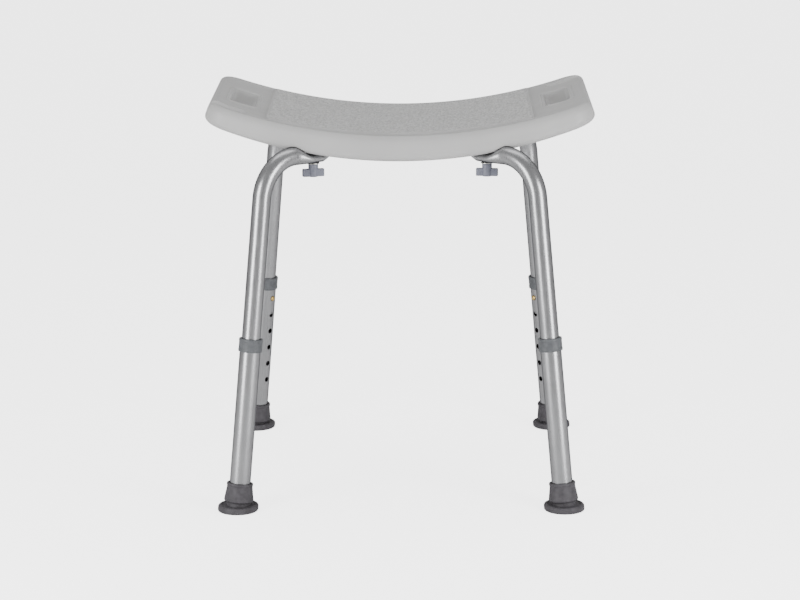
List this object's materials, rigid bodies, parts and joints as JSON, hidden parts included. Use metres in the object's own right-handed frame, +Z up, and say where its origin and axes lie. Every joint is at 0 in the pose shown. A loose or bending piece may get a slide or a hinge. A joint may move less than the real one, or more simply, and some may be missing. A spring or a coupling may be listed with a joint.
{
  "type": "shower stool",
  "caption": "Backless shower stool: curved hollow plastic seat with hand openings and a textured panel, on splayed telescopic aluminium legs with rubber feet.",
  "frame": {"origin": "on the floor under the middle of the seat", "axes": "+Z up, X across the seat's width with +X to the right seen from the front, front faces -Y"},
  "size_m": [0.5288, 0.495, 0.5451],
  "materials": {
    "seat_plastic": "blow-moulded polyethylene, satin, pebbled in the raised middle panel",
    "anodised_tube": "satin silver anodised drawn tube",
    "collar_plastic": "moulded grey plastic",
    "knob_plastic": "moulded blue-grey plastic",
    "foot_rubber": "matt dark grey rubber",
    "brass": "yellow passivated",
    "zinc_steel": "bright zinc plate"
  },
  "bodies": {
    "seat_frame": {"seat": "seat_plastic", "insert_front_left": "brass", "upper_leg_front_left": "anodised_tube", "button_spring_front_left": "zinc_steel", "insert_front_right": "brass", "upper_leg_front_right": "anodised_tube", "button_spring_front_right": "zinc_steel", "insert_rear_left": "brass", "upper_leg_rear_left": "anodised_tube", "button_spring_rear_left": "zinc_steel", "insert_rear_right": "brass", "upper_leg_rear_right": "anodised_tube", "button_spring_rear_right": "zinc_steel"},
    "lower_leg_front_left": {"lower_leg_front_left": "anodised_tube", "collar_front_left": "collar_plastic", "foot_front_left": "foot_rubber", "foot_washer_front_left": "zinc_steel"},
    "button_front_left": {"button_front_left": "brass"},
    "washer_front_left": {"washer_front_left": "zinc_steel"},
    "knob_front_left": {"knob_front_left": "knob_plastic", "stud_front_left": "zinc_steel"},
    "lower_leg_front_right": {"lower_leg_front_right": "anodised_tube", "collar_front_right": "collar_plastic", "foot_front_right": "foot_rubber", "foot_washer_front_right": "zinc_steel"},
    "button_front_right": {"button_front_right": "brass"},
    "washer_front_right": {"washer_front_right": "zinc_steel"},
    "knob_front_right": {"knob_front_right": "knob_plastic", "stud_front_right": "zinc_steel"},
    "lower_leg_rear_left": {"lower_leg_rear_left": "anodised_tube", "collar_rear_left": "collar_plastic", "foot_rear_left": "foot_rubber", "foot_washer_rear_left": "zinc_steel"},
    "button_rear_left": {"button_rear_left": "brass"},
    "washer_rear_left": {"washer_rear_left": "zinc_steel"},
    "knob_rear_left": {"knob_rear_left": "knob_plastic", "stud_rear_left": "zinc_steel"},
    "lower_leg_rear_right": {"lower_leg_rear_right": "anodised_tube", "collar_rear_right": "collar_plastic", "foot_rear_right": "foot_rubber", "foot_washer_rear_right": "zinc_steel"},
    "button_rear_right": {"button_rear_right": "brass"},
    "washer_rear_right": {"washer_rear_right": "zinc_steel"},
    "knob_rear_right": {"knob_rear_right": "knob_plastic", "stud_rear_right": "zinc_steel"}
  },
  "joints": [
    {"name": "height_front_left", "type": "slide", "parent": "seat_frame", "child": "lower_leg_front_left", "axis": [0.0864, 0.0778, 0.9932], "range_m": [0, 0.127], "deforming": ["button_front_left"]},
    {"name": "button_press_front_left", "type": "slide", "parent": "seat_frame", "child": "button_front_left", "axis": [-0.7381, -0.6646, 0.1162], "range_m": [0, 0.0042], "stiffness_N_per_m": 600, "springref_m": -0.004, "deforming": ["button_spring_front_left"]},
    {"name": "washer_drop_front_left", "type": "slide", "parent": "seat_frame", "child": "washer_front_left", "axis": [0, 0, -1], "range_m": [0, 0.0075]},
    {"name": "knob_turn_front_left", "type": "hinge", "parent": "washer_front_left", "child": "knob_front_left", "pos_m": [-0.118, -0.12636, 0.45], "axis": [0, 0, -1], "range_deg": [0, 2160]},
    {"name": "height_front_right", "type": "slide", "parent": "seat_frame", "child": "lower_leg_front_right", "axis": [-0.0864, 0.0778, 0.9932], "range_m": [0, 0.127], "deforming": ["button_front_right"]},
    {"name": "button_press_front_right", "type": "slide", "parent": "seat_frame", "child": "button_front_right", "axis": [0.7381, -0.6646, 0.1162], "range_m": [0, 0.0042], "stiffness_N_per_m": 600, "springref_m": -0.004, "deforming": ["button_spring_front_right"]},
    {"name": "washer_drop_front_right", "type": "slide", "parent": "seat_frame", "child": "washer_front_right", "axis": [0, 0, -1], "range_m": [0, 0.0075]},
    {"name": "knob_turn_front_right", "type": "hinge", "parent": "washer_front_right", "child": "knob_front_right", "pos_m": [0.118, -0.12636, 0.45], "axis": [0, 0, -1], "range_deg": [0, 2160]},
    {"name": "height_rear_left", "type": "slide", "parent": "seat_frame", "child": "lower_leg_rear_left", "axis": [0.0864, -0.0778, 0.9932], "range_m": [0, 0.127], "deforming": ["button_rear_left"]},
    {"name": "button_press_rear_left", "type": "slide", "parent": "seat_frame", "child": "button_rear_left", "axis": [-0.7381, 0.6646, 0.1162], "range_m": [0, 0.0042], "stiffness_N_per_m": 600, "springref_m": -0.004, "deforming": ["button_spring_rear_left"]},
    {"name": "washer_drop_rear_left", "type": "slide", "parent": "seat_frame", "child": "washer_rear_left", "axis": [0, 0, -1], "range_m": [0, 0.0075]},
    {"name": "knob_turn_rear_left", "type": "hinge", "parent": "washer_rear_left", "child": "knob_rear_left", "pos_m": [-0.118, 0.12636, 0.45], "axis": [0, 0, -1], "range_deg": [0, 2160]},
    {"name": "height_rear_right", "type": "slide", "parent": "seat_frame", "child": "lower_leg_rear_right", "axis": [-0.0864, -0.0778, 0.9932], "range_m": [0, 0.127], "deforming": ["button_rear_right"]},
    {"name": "button_press_rear_right", "type": "slide", "parent": "seat_frame", "child": "button_rear_right", "axis": [0.7381, 0.6646, 0.1162], "range_m": [0, 0.0042], "stiffness_N_per_m": 600, "springref_m": -0.004, "deforming": ["button_spring_rear_right"]},
    {"name": "washer_drop_rear_right", "type": "slide", "parent": "seat_frame", "child": "washer_rear_right", "axis": [0, 0, -1], "range_m": [0, 0.0075]},
    {"name": "knob_turn_rear_right", "type": "hinge", "parent": "washer_rear_right", "child": "knob_rear_right", "pos_m": [0.118, 0.12636, 0.45], "axis": [0, 0, -1], "range_deg": [0, 2160]}
  ],
  "couplings": [
    {"joint": "knob_turn_front_left", "follows": "washer_drop_front_left", "rad_per_m": 5026.5},
    {"joint": "knob_turn_front_right", "follows": "washer_drop_front_right", "rad_per_m": 5026.5},
    {"joint": "knob_turn_rear_left", "follows": "washer_drop_rear_left", "rad_per_m": 5026.5},
    {"joint": "knob_turn_rear_right", "follows": "washer_drop_rear_right", "rad_per_m": 5026.5}
  ]
}
